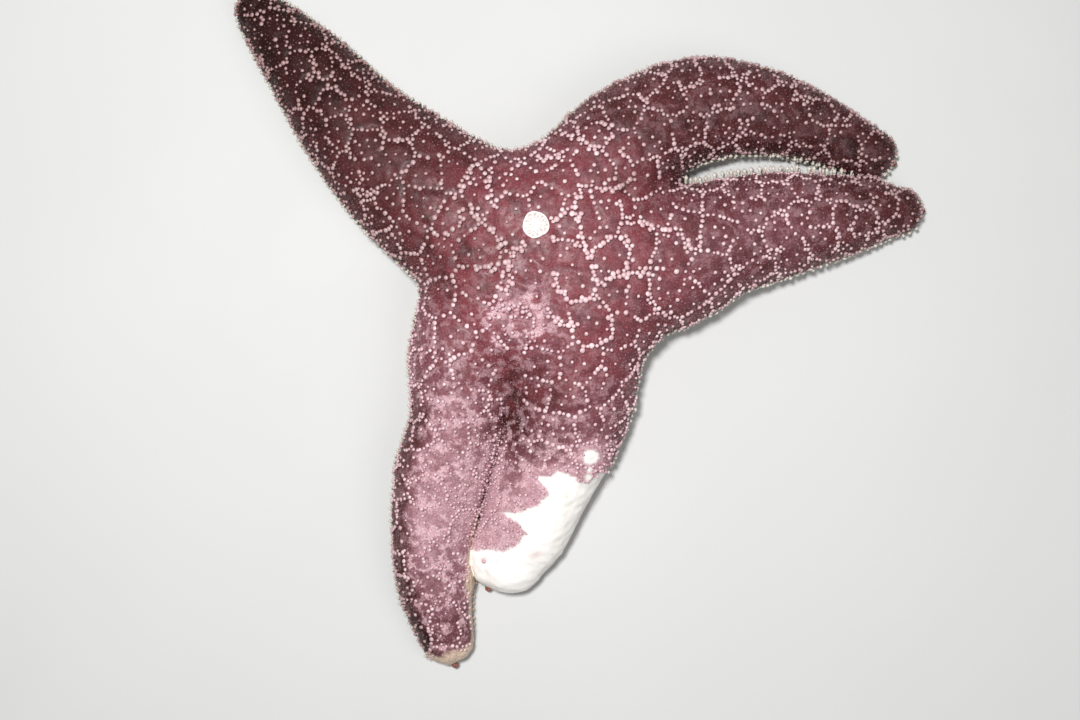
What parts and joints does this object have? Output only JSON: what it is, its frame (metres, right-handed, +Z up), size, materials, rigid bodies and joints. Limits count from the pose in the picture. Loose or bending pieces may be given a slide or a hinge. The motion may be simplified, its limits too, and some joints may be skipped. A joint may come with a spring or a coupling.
{
  "type": "ochre sea star",
  "caption": "Life-size ochre sea star lying flat: a low domed disc with stout tapering arms, a net of short pale spines, a white sieve plate and a grooved underside.",
  "frame": {"origin": "on the floor, under the middle of the animal's bounding box", "axes": "+Z up, away from the floor; +Y towards the top of the pose as seen from above, where the upper left arm and the upper right arm start; +X towards the tips of the right arm and the upper right arm"},
  "size_m": [0.2087, 0.2054, 0.0335],
  "materials": {
    "skin": "wet, grained, purple-maroon with paler mauve and white areas on the two lower arms",
    "spine": "satin, pinkish white",
    "soft_tissue": "wet, smooth",
    "sieve_plate": "matte, with fine furrows",
    "eyespot": "wet, smooth, red"
  },
  "bodies": {
    "root": {"disc": "skin", "mouth": "soft_tissue", "madreporite": "sieve_plate", "arm_upper_left_base": "skin", "arm_upper_left_middle": "skin", "arm_upper_left_tip": "skin", "eyespot_upper_left": "eyespot", "arm_upper_right_base": "skin", "arm_upper_right_middle": "skin", "arm_upper_right_tip": "skin", "eyespot_upper_right": "eyespot", "arm_right_base": "skin", "arm_right_middle": "skin", "arm_right_tip": "skin", "eyespot_right": "eyespot", "arm_lower_middle_base": "skin", "arm_lower_middle_middle": "skin", "arm_lower_middle_tip": "skin", "eyespot_lower_middle": "eyespot", "arm_lower_left_base": "skin", "arm_lower_left_middle": "skin", "arm_lower_left_tip": "skin", "eyespot_lower_left": "eyespot"}
  },
  "joints": []
}
